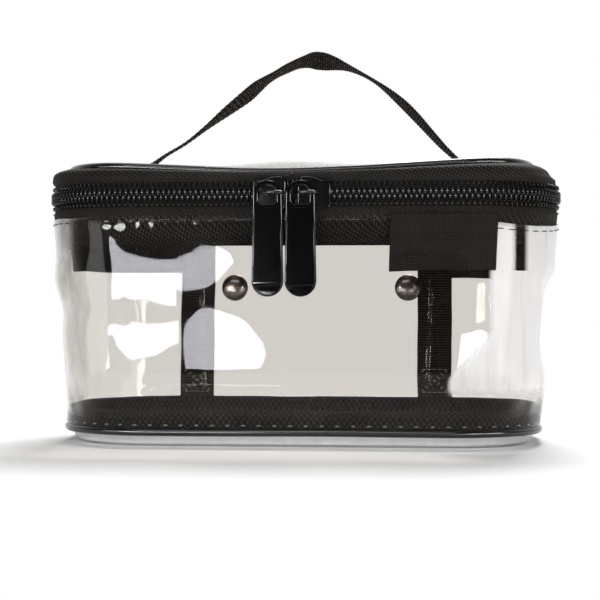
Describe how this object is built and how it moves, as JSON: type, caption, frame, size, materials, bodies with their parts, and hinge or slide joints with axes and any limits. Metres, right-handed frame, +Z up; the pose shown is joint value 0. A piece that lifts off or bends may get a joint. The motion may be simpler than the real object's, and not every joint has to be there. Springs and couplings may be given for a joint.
{
  "type": "toiletry bag",
  "caption": "Clear film toiletry bag with a hinged zip lid, two sliders with pulls, piped edges and a webbing carry handle.",
  "frame": {"origin": "middle of the base's flat bottom", "axes": "+X from left to right seen from the front, +Y from front to back, +Z up"},
  "size_m": [0.246, 0.1247, 0.1883],
  "materials": {
    "clear_film": "clear soft vinyl film, glossy",
    "piping": "glossy black vinyl piping",
    "binding": "black woven binding tape",
    "band_fabric": "black woven polyester, matt",
    "strap_webbing": "black ribbed webbing",
    "label_fabric": "black damask weave, bare",
    "zip_tape": "black herringbone zip tape",
    "zip_coil": "black nylon zip teeth, semi gloss",
    "slider_metal": "black enamelled zinc",
    "pull_metal": "glossy black enamelled zinc",
    "snap_metal": "black nickel press stud"
  },
  "bodies": {
    "bag": {"side_wall": "clear_film", "back_wall": "clear_film", "base_panel": "clear_film", "base_piping": "piping", "base_binding": "binding", "lower_zip_band": "band_fabric", "inner_top_band": "binding", "left_corner_band": "band_fabric", "right_corner_band": "band_fabric", "left_back_strap": "strap_webbing", "right_back_strap": "strap_webbing", "snap_caps": "snap_metal", "snap_studs": "snap_metal", "label_tab": "label_fabric", "lower_zip_tape": "zip_tape", "zip_teeth_lower": "zip_coil", "hinge_panel": "band_fabric"},
    "lid": {"lid_panel": "clear_film", "lid_piping": "piping", "lid_gusset": "band_fabric", "lid_binding": "binding", "upper_zip_tape": "zip_tape", "zip_teeth_upper": "zip_coil", "left_handle_patch": "band_fabric", "right_handle_patch": "band_fabric", "left_handle_foot": "strap_webbing", "right_handle_foot": "strap_webbing"},
    "left_slider": {"left_slider": "slider_metal"},
    "right_slider": {"right_slider": "slider_metal"},
    "left_pull": {"left_pull": "pull_metal"},
    "right_pull": {"right_pull": "pull_metal"},
    "handle": {"handle": "strap_webbing"}
  },
  "joints": [
    {"name": "lid_hinge", "type": "hinge", "parent": "bag", "child": "lid", "pos_m": [0, 0.0588, 0.117], "axis": [-1, 0, 0], "range_deg": [0, 120], "deforming": ["hinge_panel", "zip_teeth_upper"]},
    {"name": "left_slider_slide", "type": "slide", "parent": "bag", "child": "left_slider", "axis": [-1, 0, 0], "range_m": [0, 0.052], "deforming": ["zip_teeth_lower"]},
    {"name": "right_slider_slide", "type": "slide", "parent": "bag", "child": "right_slider", "axis": [1, 0, 0], "range_m": [0, 0.054]},
    {"name": "left_pull_swing", "type": "hinge", "parent": "left_slider", "child": "left_pull", "pos_m": [-0.0069, -0.0621, 0.1174], "axis": [0, 0, 1], "range_deg": [0, 120]},
    {"name": "right_pull_swing", "type": "hinge", "parent": "right_slider", "child": "right_pull", "pos_m": [0.00815, -0.0621, 0.1174], "axis": [0, 0, 1], "range_deg": [0, 120]},
    {"name": "handle_swing", "type": "hinge", "parent": "lid", "child": "handle", "pos_m": [0, 0, 0.1334], "axis": [1, 0, 0], "range_deg": [-60, 60], "stiffness_Nm_per_rad": 0.02, "deforming": ["left_handle_foot", "right_handle_foot"]}
  ]
}
